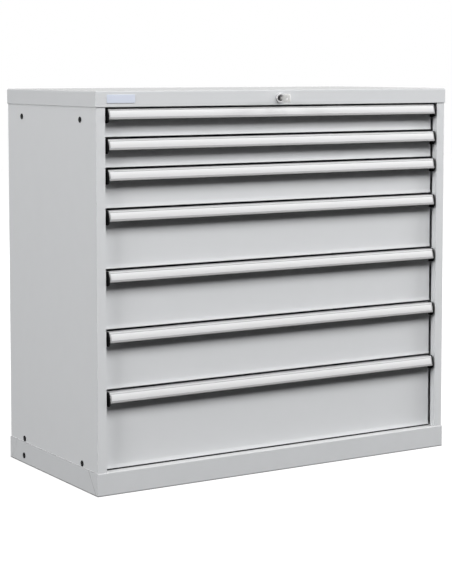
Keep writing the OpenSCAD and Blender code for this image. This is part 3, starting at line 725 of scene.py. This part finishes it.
# %% [markdown]
# ## End caps
# Black moulded caps close the ends of each extrusion. They follow its curve with a narrow
# rim and reach below it in a round chin. The outline is drawn out by the cap's thickness,
# and the bevel gives the soft rim of an injection moulding.

# %% Build the end caps
RIM, CHIN_R, CAP_EDGE = 1.2 * MM, 11 * MM, 0.6 * MM
rim_top = math.degrees(math.asin((GRIP_H + RIM) / (GRIP_R + RIM)))
chin = (REACH + RIM - CHIN_R, foot)
CAP = ([(0, DROP - RIM)] + grip(GRIP_R + RIM, rim_top, 0, 16)
       + arc(chin, CHIN_R, 5, 90, 14) + [(0, foot + CHIN_R)])


def build_caps(n):
    low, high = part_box(f"drawer_{n}_end_caps")
    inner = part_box(f"drawer_{n}_handle")
    bm = bmesh.new()
    outline = on_front(CAP, n)
    add_bar(bm, outline, low[0], inner[0][0])
    add_bar(bm, outline, inner[1][0], high[0])
    return new_piece(f"end_caps_{n}", bm, finishes["black_plastic"],
                     [f"drawer_{n}_end_caps"], CAP_EDGE, 3)


for n in range(1, DRAWERS + 1):
    build_caps(n)
print("end caps:", 2 * DRAWERS)

# %% [markdown]
# ## The lock and its key
# A turned rosette sits on the lid, with a nut behind the sheet. The key stays in the
# keyway. Turned parts come from a profile spun round the lock's axis, and the key is
# a flat blank, cut as an outline with a hole, which a filled curve does best.

# %% Rosette, threaded body and nut
housing_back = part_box("lock_housing")[1][1]
key_low, key_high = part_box("key")
LOCK_X = (key_low[0] + key_high[0]) / 2
LOCK_Z = (key_low[2] + key_high[2]) / 2
LID_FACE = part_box("lid")[0][1]
ROSETTE_R, ROSETTE_T, BODY_R, BORE_R = 12.5 * MM, 4.5 * MM, 10.5 * MM, 7.05 * MM
NUT_R, NUT_T, LID_T = 14.5 * MM, 4 * MM, 1.5 * MM
rosette = ([(BORE_R, -ROSETTE_T + 1.1 * MM), (8.4 * MM, -ROSETTE_T + 1.1 * MM),
            (9.0 * MM, -ROSETTE_T + 0.2 * MM), (9.3 * MM, -ROSETTE_T), (10.4 * MM, -ROSETTE_T)]
           + [(ROSETTE_R - 1.6 * MM + r, -ROSETTE_T + 1.6 * MM + t)
              for r, t in arc((0, 0), 1.6 * MM, -80, 0, 6)]
           + [(ROSETTE_R, -0.2 * MM), (ROSETTE_R - 0.2 * MM, 0), (BODY_R, 0),
              (BODY_R, housing_back - LID_FACE), (BORE_R, housing_back - LID_FACE)])
bm = bmesh.new()
add_turned(bm, rosette, (LOCK_X, LID_FACE, LOCK_Z), "y", closed=True, steps=64)
nut = [(BODY_R + 0.1 * MM, LID_T), (NUT_R, LID_T), (NUT_R, LID_T + NUT_T),
       (BODY_R + 0.1 * MM, LID_T + NUT_T)]
add_turned(bm, nut, (LOCK_X, LID_FACE, LOCK_Z), "y", closed=True, steps=6)
new_piece("lock_rosette", bm, finishes["lock_chrome"], ["lock_housing"])
print("the rosette is", round(2000 * ROSETTE_R, 1), "mm wide")

# %% Painted shade in the keyway
KEYWAY_SHADE_R, KEYWAY_LIT_R = 7.2 * MM, 7.6 * MM
metal = finishes["lock_chrome"].node_tree
spot = metal.nodes.new("ShaderNodeTexCoord")
offset = add_vector(metal, "MULTIPLY_ADD", spot.outputs["Object"], (1, 0, 1),
                    (-LOCK_X, 0, -LOCK_Z))
away = add_vector(metal, "LENGTH", offset)
# Painted shade: inside the bore, the barrel's face and the rosette's inner wall are painted near
# black for the shadow in the recessed keyway.
cover_where(finishes["lock_chrome"], ramp(metal, away, KEYWAY_SHADE_R, KEYWAY_LIT_R), (0.05, 0.05, 0.052))
print("the barrel's face is dulled by grime")

# %% A flat piece from an outline with holes
def flat_piece(name, outlines, place, turn, thickness, edge, finish, nodes):
    """Fills 2D outlines as a curve, holes included, and stands the result upright."""
    curve = bpy.data.curves.new(name, "CURVE")
    curve.dimensions = "2D"
    curve.fill_mode = "BOTH"
    curve.extrude = thickness / 2 - edge
    curve.bevel_depth = edge
    curve.bevel_resolution = 2
    curve.offset = -edge
    for outline in outlines:
        line = curve.splines.new("POLY")
        line.points.add(len(outline) - 1)
        for spot, (a, b) in zip(line.points, outline):
            spot.co = (a, b, 0, 1)
        line.use_cyclic_u = True
    blank = bpy.data.objects.new(name + "_outline", curve)
    bpy.context.scene.collection.objects.link(blank)
    bpy.context.view_layer.update()
    mesh = bpy.data.meshes.new_from_object(
        blank.evaluated_get(bpy.context.evaluated_depsgraph_get()))
    bpy.data.objects.remove(blank)
    bm = bmesh.new()
    bm.from_mesh(mesh)
    bmesh.ops.remove_doubles(bm, verts=bm.verts, dist=SAME_POINT)
    for vert in bm.verts:
        a, b, c = vert.co
        vert.co = Vector((c, a, b) if turn == "yz" else (a, -c, b)) + Vector(place)
    bpy.data.meshes.remove(mesh)
    return new_piece(name, bm, finish, nodes)


def rounded(width, height, radius, steps=6):
    """A rectangle about the origin with round corners."""
    a, b = width / 2 - radius, height / 2 - radius
    corners = ((a, b, 0), (-a, b, 90), (-a, -b, 180), (a, -b, 270))
    return [p for x, y, t in corners for p in arc((x, y), radius, t, t + 90, steps)]


print("flat blanks can be cut")

# %% The key
KEY_T, BLADE_H, BOW_L, BOW_H = 2 * MM, 8 * MM, 31 * MM, 22 * MM
BOW_R, CORNER_R, RING_R = 6 * MM, 2 * MM, 3.5 * MM
blade_end = key_high[1] - key_low[1]
notches = [(BOW_L + 14 * MM + 3.4 * MM * k, k % 2) for k in range(5)]
key_outline = (arc((BOW_L - CORNER_R, BOW_H / 2 - CORNER_R), CORNER_R, 0, 90, 4)
               + arc((BOW_R, BOW_H / 2 - BOW_R), BOW_R, 90, 180, 8)
               + arc((BOW_R, BOW_R - BOW_H / 2), BOW_R, 180, 270, 8)
               + arc((BOW_L - CORNER_R, CORNER_R - BOW_H / 2), CORNER_R, 270, 360, 4)
               + [(BOW_L, -BLADE_H / 2), (blade_end, -BLADE_H / 2),
                  (blade_end, BLADE_H / 2 - CORNER_R), (blade_end - CORNER_R, BLADE_H / 2)])
for start, deep in reversed(notches):
    bite = (1.2 + 0.9 * deep) * MM
    key_outline += [(start + 2.6 * MM, BLADE_H / 2), (start + 1.6 * MM, BLADE_H / 2 - bite),
                    (start + 1.0 * MM, BLADE_H / 2 - bite), (start, BLADE_H / 2)]
key_outline += [(BOW_L, BLADE_H / 2)]
ring_hole = arc((0.38 * BOW_L, 0), RING_R, 0, 345, 23)
flat_piece("lock_key", [key_outline, ring_hole], (LOCK_X, key_low[1], LOCK_Z), "yz", KEY_T,
           0.25 * MM, finishes["key_metal"], ["key"])
print("the key is", round(1000 * (key_high[1] - key_low[1]), 1), "mm long")

# %% [markdown]
# ## Small fittings
# Push-in caps close the holes for joining cabinets. They are turned like the rosette. The
# plate at the lid's left end stays blank: a pale enamelled sheet with rounded corners and
# softened edges.

# %% Hole caps
CAP_T = 1.2 * MM
wall_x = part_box("side_panel_right")[1][0]
plinth_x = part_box("plinth_front")[1][0]
PITCH, LOW_Z, HIGH_Z, PLINTH_Z = 337 * MM, 67 * MM, 928 * MM, 21.4 * MM
button = [(0, 0.75), (2.4, 0.75), (2.9, CAP_T / MM), (6.9, CAP_T / MM), (7.4, 0.95), (7.7, 0.5),
          (7.7, 0), (5.4, 0), (5.4, -5), (0, -5)]
spots = [(wall_x, y, z) for y in (-PITCH / 2, PITCH / 2) for z in (LOW_Z, HIGH_Z)]
spots.append((plinth_x, PITCH / 2, PLINTH_Z))
bm = bmesh.new()
for x, y, z in spots:
    for side in (-1, 1):
        add_turned(bm, [(r * MM, side * t * MM) for r, t in button], (side * x, y, z), "x")
new_piece("hole_buttons", bm, finishes["black_plastic"], ["hole_caps"])
print("hole caps:", 2 * len(spots))

# %% The blank plate
plate_low, plate_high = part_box("name_plate")
PLATE_T, PLATE_R = plate_high[1] - plate_low[1], 1.5 * MM
plate_w, plate_h = plate_high[0] - plate_low[0], plate_high[2] - plate_low[2]
middle = [(plate_low[k] + plate_high[k]) / 2 for k in range(3)]
flat_piece("blank_plate", [rounded(plate_w, plate_h, PLATE_R)], middle, "xz", PLATE_T,
           0.3 * MM, finishes["plate"], ["name_plate"])
print("the blank plate is", round(1000 * plate_w), "by", round(1000 * plate_h), "mm")
